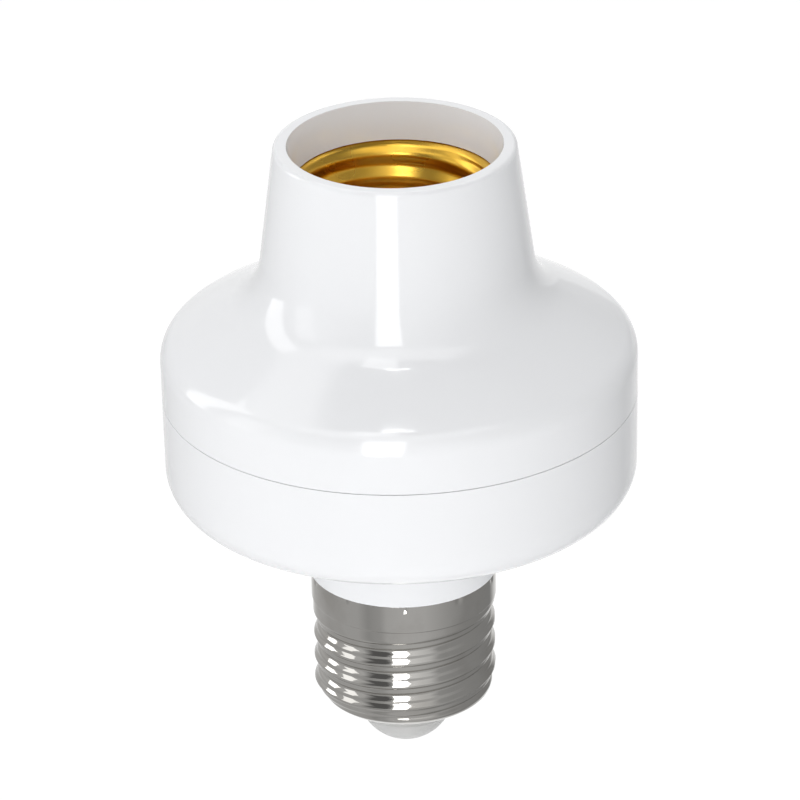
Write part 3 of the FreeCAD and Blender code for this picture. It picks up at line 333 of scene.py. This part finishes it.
def moulded(name, base, dark, rough, grain_mm, depth=0.1):
    """Matt moulding or coating: a fine grain of the given size, and a slightly darker mottle."""
    material, tree, shader = finish(name, base, rough)
    place = node(tree, "ShaderNodeTexCoord")
    grain = node(tree, "ShaderNodeTexNoise", {"Scale": 1000.0 / grain_mm, "Detail": 2.0},
                 Vector=place.outputs["Object"])
    mottle = node(tree, "ShaderNodeTexNoise", {"Scale": 120.0, "Detail": 3.0}, Vector=place.outputs["Object"])
    tint = node(tree, "ShaderNodeMix", {"data_type": "RGBA", COLOUR_A: colour(base), COLOUR_B: colour(dark)})
    tree.links.new(mottle.outputs["Fac"], tint.inputs[0])
    tree.links.new(tint.outputs[COLOUR_RESULT], shader.inputs["Base Color"])
    bump = node(tree, "ShaderNodeBump", {"Strength": depth, "Distance": 0.0001}, Height=grain.outputs["Fac"])
    tree.links.new(bump.outputs["Normal"], shader.inputs["Normal"])
    return material


white_abs = glossy_abs()
nickel = rolled_metal("rolled_nickel_plate", "C9C7C3", "B9B6B1", 0.05, 0.1)
brass = rolled_metal("drawn_bright_brass", "E0B349", "CE9F35", 0.24, 0.32)
nose_white = moulded("white_moulded_nose", "C8C8C7", "BFBFBE", 0.34, 0.4)
heatproof = moulded("offwhite_moulded_base", "ECE9E1", "E2DED4", 0.45, 0.5)
tinned = rolled_metal("tinned_rivet", "C4C0B6", "A9A49A", 0.25, 0.4)
spring_wire = rolled_metal("drawn_spring_wire", "A9A9A8", "8F8F8E", 0.22, 0.35)
zinc = rolled_metal("zinc_plated_screw", "BFC1C2", "A3A5A6", 0.2, 0.35)
laminate = moulded("green_glass_fibre_laminate", "1F6B3A", "185A30", 0.35, 0.6)
epoxy = moulded("black_moulded_epoxy", "17181A", "202123", 0.42, 0.3)
relay_blue = moulded("blue_moulded_case", "1E4C9A", "1A4288", 0.25, 0.8)
film_yellow = moulded("yellow_dipped_case", "D9A11F", "CC9318", 0.25, 0.8)
sleeve = moulded("dark_shrink_sleeve", "1C2340", "151A30", 0.22, 0.8)
surge_blue = moulded("blue_dipped_coating", "2A5BA8", "234E92", 0.3, 0.6)
resistor_grey = moulded("grey_green_coating", "8FA39B", "82958E", 0.45, 0.4)
red_lead = moulded("red_insulation", "B3201C", "A01A17", 0.38, 0.5)
white_lead = moulded("white_insulation", "E8E8E4", "DEDEDA", 0.38, 0.5)
copper = rolled_metal("enamelled_copper_wire", "B0642F", "96521F", 0.2, 0.35)

# Housing, as outlines of (radius, height, rounding) corners

cover_outline = rounded([
    (32.78, 56.01),       # rebate round the lower part's lip
    (33.78, 56.01),       # seam
    (33.82, 63.65, 3.8),  # shoulder
    (19.88, 72.2, 9.2),   # foot of the neck
    (17.05, 93.6, 0.7),   # rim
    (15.2, 93.6),
    (14.3, 88.1),         # lower edge of the mouth
    (16.04, 88.1),
    (17.88, 71.08),       # inside the neck and the dome
    (31.78, 62.56),
    (31.78, 58.35),
    (32.78, 58.35),
])
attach(turned_copy("upper_cover", cover_outline, white_abs), ADAPTER)

housing_outline = rounded([
    (11.6, 11.2),         # spigot inside the cap
    (11.6, 23.65),
    (12.72, 23.95),
    (12.72, 27.75),
    (13.5, 27.75),        # collar
    (13.65, 39.8),
    (33.62, 40.15, 5.2),  # underside to side
    (33.78, 55.89),       # seam
    (32.68, 55.89),       # lip
    (32.68, 58.19),
    (31.78, 58.19),
    (31.78, 44.35),       # inside and floor
    (29.58, 42.15),
    (13.65, 41.8),
    (9.9, 41.8),          # bore of the spigot
    (9.9, 11.2),
])
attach(turned_copy("lower_housing", housing_outline, white_abs), ADAPTER)

# Screw cap

CAP_BAND = 13.32      # radius of the plain band above the thread
CAP_TOP = 27.75       # its top edge
CAP_INNER = 10.0      # nearer to the axis than this the taper has no thread
CAP_FADE = 7.4        # where the thread begins to show on the taper
CAP_FADE_RUN = 2.2    # height over which it reaches its full depth
CAP_GROOVE = dict(start=6.43, turns=4.3, fade_in=0.3, fade_out=0.35, ripple=0.25)
PUNCH_COUNT = 10      # punch marks round the top edge, one of them in front
PUNCH_WIDTH = 1.1
PUNCH_DEPTH = 0.18
PUNCH_DROP = 0.4      # top edge to a mark's deepest place
PUNCH_REACH = 0.7     # that place to the mark's lower end

cap_outline = rounded([
    (6.6, 4.4, 0.15),         # hole for the nose
    (13.15, 8.8, 2.5),        # taper to side
    (13.15, 23.35, 0.15),     # side to band
    (CAP_BAND, 23.52, 0.15),
    (CAP_BAND, CAP_TOP, 0.12),
    (12.87, CAP_TOP, 0.12),   # the same inside, one sheet's thickness in
    (12.87, 23.8, 0.3),
    (12.7, 23.5, 0.3),
    (12.7, 8.92, 2.1),
    (6.6, 4.94, 0.1),
], THREAD_RUN)


def cap_radius(radius, height, angle):
    """The cap's wall with its thread and punch marks pressed in, both through the sheet."""
    shown = np.clip((height - CAP_FADE) / CAP_FADE_RUN, 0, 1) * (radius > CAP_INNER)
    pressed = THREAD_DEPTH * shown * groove(height, angle, **CAP_GROOVE)
    step = 2 * math.pi / PUNCH_COUNT
    off = (angle + math.pi / 2 + step / 2) % step - step / 2
    across = np.clip(1 - (off * CAP_BAND / (PUNCH_WIDTH / 2)) ** 2, 0, 1)
    down = np.clip(1 - ((CAP_TOP - height - PUNCH_DROP) / PUNCH_REACH) ** 2, 0, 1)
    return radius - pressed - PUNCH_DEPTH * across * down


cap_grid = revolve(cap_outline, THREAD_COLUMNS, cap_radius)
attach(skin("screw_cap", cap_grid, nickel), ADAPTER)

NOSE_SPHERE = 7.0     # radius of the nose's dome
NOSE_CENTRE = 6.8     # height of its middle
NOSE_BORE = 0.96      # bore for the tip contact's shank
nose_dome = [(NOSE_SPHERE * math.sin(a), NOSE_CENTRE - NOSE_SPHERE * math.cos(a))
             for a in np.linspace(0.379, 1.22, 14)]
nose_flange = [(6.5, 5.1), (8.8, 6.6), (8.8, 7.7)]
nose_outline = np.array([(NOSE_BORE, 0.3), *nose_dome, *nose_flange, (NOSE_BORE, 7.7)])
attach(skin("cap_nose", revolve(nose_outline, NOSE_COLUMNS), nose_white), ADAPTER)

# Brass socket

SOCKET_GROOVE = dict(start=69.37, turns=5.3, fade_in=0.9, fade_out=0.35, ripple=0.03)
SOCKET_DEPTH = 0.9    # its thread, 0.05 less deep than the solid's, so that the skin stays inside it
SOCKET_RELIEF = 70.9  # where the thread begins to show, at the top of the wider wall below it
SOCKET_FADE_IN = 1.2  # height over which it reaches its full depth
SOCKET_LIP = 87.9     # where the thread has gone out in the lip
SOCKET_FADE_OUT = 1.0  # height over which it goes out
SOCKET_SIDE = 13.2    # further from the axis than this the wall has no thread

socket_outline = rounded([
    (8.6, 65.4, 0.1),         # hole in the floor
    (13.65, 65.4, 0.5),       # floor to wall
    (12.7, 71.1, 1.5),        # relief to thread
    (12.7, 86.2, 2.2),        # thread to lip
    (14.9, 87.6, 0.1),
    (14.9, 88.0, 0.1),        # edge of the lip
    (13.9, 88.0, 1.9),
    (12.3, 86.1, 2.6),        # the same inside
    (12.3, 71.1, 1.5),
    (13.25, 65.8, 0.3),
    (8.6, 65.8, 0.1),
], THREAD_RUN)


def socket_radius(radius, height, angle):
    """The socket's wall with its thread pressed outwards, between the relief and the lip."""
    shown = np.clip((height - SOCKET_RELIEF) / SOCKET_FADE_IN, 0, 1)
    shown = shown * np.clip((SOCKET_LIP - height) / SOCKET_FADE_OUT, 0, 1) * (radius < SOCKET_SIDE)
    return radius + SOCKET_DEPTH * shown * groove(height, angle, **SOCKET_GROOVE)


socket_grid = revolve(socket_outline, THREAD_COLUMNS, socket_radius)
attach(skin("socket_shell", socket_grid, brass), ADAPTER)

# Contact spring, which shortens as the contact is pressed; here it is wound to its solid's length as it
# stands

SPRING_RADIUS = 2.65  # axis to the wire's middle
SPRING_WIRE = 0.25    # radius of the wire
SPRING_TURNS = 4.0
spring_low, spring_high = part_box("contact_spring")
spring_grid = coil(SPRING_RADIUS, SPRING_WIRE, spring_low[2] / MM + SPRING_WIRE,
                   spring_high[2] / MM - SPRING_WIRE, SPRING_TURNS)
spring = skin("contact_spring", spring_grid, spring_wire, open_ended=True)
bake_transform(spring)

# Carried-over solids

FINISHES = {
    "tip_contact": tinned, "socket_base": heatproof, "centre_contact": brass, "contact_strip": brass,
    "shell_rivets": tinned, "base_screws": zinc, "board_screws": zinc,
    "tip_lead": red_lead, "live_lead": red_lead, "cap_lead": white_lead, "return_lead": white_lead,
    "circuit_board": laminate, "relay": relay_blue, "dropper_capacitor": film_yellow,
    "smoothing_capacitor": sleeve, "bridge_rectifier": epoxy, "surge_disc": surge_blue,
    "fuse_resistor": resistor_grey, "receiver_module": laminate, "control_chip": epoxy,
    "antenna_wire": copper,
}
for name, material in FINISHES.items():
    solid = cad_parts[name]
    solid.data.materials.clear()
    solid.data.materials.append(material)

# Studio

FLOOR_DEPTH = 0.3     # metres from the adapter down to the floor
FLOOR_HALF = 6.0      # metres from the floor's middle to its edges
ADAPTER_MIDDLE = np.array([0, 0, 0.05])  # metres, what the lamps look at


def level_sheet(name, half, height, material):
    """A square sheet that lies level at a height, with its middle on the adapter's axis."""
    corners = [(-half, -half, height), (half, -half, height), (half, half, height), (-half, half, height)]
    mesh = bpy.data.meshes.new(name)
    mesh.from_pydata(corners, [], [(0, 1, 2, 3)])
    mesh.materials.append(material)
    made = bpy.data.objects.new(name, mesh)
    bpy.context.scene.collection.objects.link(made)


# What the object meets round it. Each layer starts over a span of heights, which is the sine of the
# lift above the horizon, and holds tones by bearing in degrees from the front, right positive.
# GLOSS_ROOM is what gloss sees: low down a white backdrop behind, a bright front between two dark flags
# and a grey room to the sides; higher a bright wall from the left to the front; and a dark ceiling.
# MATT_ROOM is what lights matt surfaces: more from the right, where there is no lamp.
# GLOSS_FLOOR is what gloss sees below the horizon: painted light on the paper, an emission that only glossy
# rays see, less lit towards the sides.
GLOSS_ROOM = [
    (-1.0, -1.0, [(-180, 1.0), (-150, 0.7), (-110, 0.55), (-60, 0.6), (-46, 0.13), (-26, 0.13), (-14, 0.7),
                  (8, 0.9), (30, 0.7), (42, 0.4), (60, 0.35), (120, 0.3), (155, 0.4), (180, 1.0)]),
    (0.74, 0.8, [(-180, 0.7), (-120, 1.6), (-15, 1.7), (60, 1.7), (80, 0.2), (150, 0.2), (180, 0.7)]),
    (0.92, 0.955, [(0, 0.1)]),
]
MATT_ROOM = [
    (-1.0, -1.0, [(-180, 0.5), (-90, 0.49), (0, 0.22), (50, 0.45), (100, 0.85), (150, 0.7), (180, 0.5)]),
    (0.85, 0.95, [(0, 0.52)]),
]
GLOSS_FLOOR = [
    (-1.0, -1.0, [(-180, 1.0), (-150, 0.6), (-110, 0.5), (-60, 0.5), (-46, 0.38), (-30, 0.44), (-22, 0.55),
                  (0, 0.6), (25, 0.58), (52, 0.45), (82, 0.33), (135, 0.28), (152, 0.75), (180, 1.0)]),
]


def surround(tree, place, layers):
    """Brightness of the surround in a direction, or at a place on the floor."""
    parts = node(tree, "ShaderNodeSeparateXYZ", Vector=place)
    ahead = node(tree, "ShaderNodeMath", {"operation": "MULTIPLY", 1: -1.0})
    tree.links.new(parts.outputs["Y"], ahead.inputs[0])
    bearing = node(tree, "ShaderNodeMath", {"operation": "ARCTAN2"})
    tree.links.new(parts.outputs["X"], bearing.inputs[0])
    tree.links.new(ahead.outputs[0], bearing.inputs[1])
    share = node(tree, "ShaderNodeMapRange", {"From Min": -math.pi, "From Max": math.pi},
                 Value=bearing.outputs[0])
    tone = None
    for low, high, tones in layers:
        ramp = node(tree, "ShaderNodeValToRGB", Fac=share.outputs["Result"])
        stops = ramp.color_ramp.elements
        while len(stops) < len(tones):
            stops.new(0.5)
        while len(stops) > len(tones):
            stops.remove(stops[-1])
        for stop, (degrees, level) in zip(stops, tones):
            stop.position = (degrees + 180) / 360
            stop.color = (level, level, level, 1)
        if tone is None:
            tone = ramp.outputs["Color"]
            continue
        upward = node(tree, "ShaderNodeMapRange", {"From Min": low, "From Max": high},
                      Value=parts.outputs["Z"])
        joined = node(tree, "ShaderNodeMix", {"data_type": "RGBA"})
        tree.links.new(upward.outputs["Result"], joined.inputs[0])
        tree.links.new(tone, joined.inputs[COLOUR_A])
        tree.links.new(ramp.outputs["Color"], joined.inputs[COLOUR_B])
        tone = joined.outputs[COLOUR_RESULT]
    return tone


def paper():
    """Matt white paper that keeps the shadow and shows white to the eye; to gloss it shows a painted
    reflection, an emission in the floor's tones of the surround.
    """
    material, tree, shader = finish("matt_white_paper", "F7F7F7", 0.9, Specular_IOR_Level=0.1)
    place = node(tree, "ShaderNodeTexCoord")
    path = node(tree, "ShaderNodeLightPath")
    share = node(tree, "ShaderNodeMath", {"operation": "MULTIPLY", 1: 0.75})
    tree.links.new(path.outputs["Is Camera Ray"], share.inputs[0])
    white = node(tree, "ShaderNodeEmission", {"Color": (1, 1, 1, 1), "Strength": 1.15})
    seen = node(tree, "ShaderNodeMixShader")
    tree.links.new(share.outputs[0], seen.inputs[0])
    tree.links.new(shader.outputs[0], seen.inputs[1])
    tree.links.new(white.outputs[0], seen.inputs[2])
    # Painted light: glossy rays see this emission in the floor's surround tones, not the lit paper.
    glow = node(tree, "ShaderNodeEmission", Color=surround(tree, place.outputs["Object"], GLOSS_FLOOR))
    gloss = node(tree, "ShaderNodeMixShader")
    tree.links.new(path.outputs["Is Glossy Ray"], gloss.inputs[0])
    tree.links.new(seen.outputs[0], gloss.inputs[1])
    tree.links.new(glow.outputs[0], gloss.inputs[2])
    tree.links.new(gloss.outputs[0], tree.nodes["Material Output"].inputs[0])
    return material


level_sheet("floor", FLOOR_HALF, -FLOOR_DEPTH, paper())


def looking(place, aim, roll=0.0):
    """The place and turn of something that looks along its own -Z from a place towards an aim."""
    ahead = np.subtract(aim, place)
    ahead = ahead / np.linalg.norm(ahead)
    right = np.cross(ahead, (0, 0, 1))
    right /= np.linalg.norm(right)
    up = np.cross(right, ahead)
    matrix = np.eye(4)
    matrix[:3, 0] = math.cos(roll) * right + math.sin(roll) * up
    matrix[:3, 1] = math.cos(roll) * up - math.sin(roll) * right
    matrix[:3, 2] = -ahead
    matrix[:3, 3] = place
    return Matrix(matrix.tolist())


def lamp(name, bearing, lift, distance, width, height, radiance, roll=0.0, glint=True):
    """A soft rectangular lamp at a bearing from the front and a lift above the horizon, in degrees.

    It looks at the middle of the adapter, rolled about that line, isn't seen by the camera, and its
    power is the radiance times pi times its area. Without a glint it lights only matt surfaces.
    """
    data = bpy.data.lights.new(name, "AREA")
    data.shape = "RECTANGLE"
    data.size = width
    data.size_y = height
    data.energy = radiance * math.pi * width * height
    made = bpy.data.objects.new(name, data)
    bpy.context.scene.collection.objects.link(made)
    bearing = math.radians(bearing)
    lift = math.radians(lift)
    level = math.cos(lift)
    towards = np.array([math.sin(bearing) * level, -math.cos(bearing) * level, math.sin(lift)])
    made.matrix_world = looking(ADAPTER_MIDDLE + distance * towards, ADAPTER_MIDDLE, math.radians(roll))
    made.visible_camera = False
    made.visible_glossy = glint


# Bearing, lift, distance, width, height, radiance and, for one, roll
lamp("front_strip", -8, 15.5, 0.55, 0.18, 0.65, 3.9)
lamp("front_low", -2, -17.5, 0.574, 0.42, 0.12, 1.6, glint=False)
lamp("table_glow", 4, -44.5, 0.424, 0.32, 0.14, 1.5, glint=False)
lamp("left_strip", -108, 24, 0.9, 0.26, 0.9, 2.3)
lamp("left_softbox", -78, 18, 0.9, 0.26, 0.7, 1.0)
lamp("top_window", -28, 74, 0.85, 0.2, 0.24, 2.8, 28)
lamp("top_slot", -5, 84, 0.85, 0.12, 0.035, 10.0)
lamp("back_window", 170, 55, 0.9, 0.7, 0.3, 2.2)

world = bpy.data.worlds.new("studio")
bpy.context.scene.world = world
world.use_nodes = True
sky = world.node_tree
sky.nodes["Background"].inputs["Color"].default_value = (1, 1, 1, 1)
path = node(sky, "ShaderNodeLightPath")
direction = node(sky, "ShaderNodeTexCoord")
seen = node(sky, "ShaderNodeMath", {"operation": "MAXIMUM"})
sky.links.new(path.outputs["Is Camera Ray"], seen.inputs[0])
sky.links.new(path.outputs["Is Transmission Ray"], seen.inputs[1])
plain = node(sky, "ShaderNodeMix", {"data_type": "FLOAT", NUMBER_B: 1.0})
sky.links.new(seen.outputs[0], plain.inputs[0])
sky.links.new(surround(sky, direction.outputs["Generated"], MATT_ROOM), plain.inputs[NUMBER_A])
level = node(sky, "ShaderNodeMix", {"data_type": "FLOAT"})
sky.links.new(path.outputs["Is Glossy Ray"], level.inputs[0])
sky.links.new(plain.outputs[0], level.inputs[NUMBER_A])
sky.links.new(surround(sky, direction.outputs["Generated"], GLOSS_ROOM), level.inputs[NUMBER_B])
sky.links.new(level.outputs[0], sky.nodes["Background"].inputs["Strength"])

# Camera

CAMERA_PLACE = (0.0, -0.73685, 0.41342)
CAMERA_PITCH = math.radians(26.004)  # how far it looks down
CAMERA_ROLL = -0.02018               # radians, fitted to the photographed axis
camera_data = bpy.data.cameras.new("camera")
camera_data.sensor_width = 36.0
camera_data.lens = 259.6
camera_data.clip_end = 50.0
camera = bpy.data.objects.new("camera", camera_data)
bpy.context.scene.collection.objects.link(camera)
camera_aim = (0.0, CAMERA_PLACE[1] + math.cos(CAMERA_PITCH), CAMERA_PLACE[2] - math.sin(CAMERA_PITCH))
camera.matrix_world = looking(CAMERA_PLACE, camera_aim, CAMERA_ROLL)
bpy.context.scene.camera = camera
bpy.context.scene.view_settings.view_transform = "Standard"
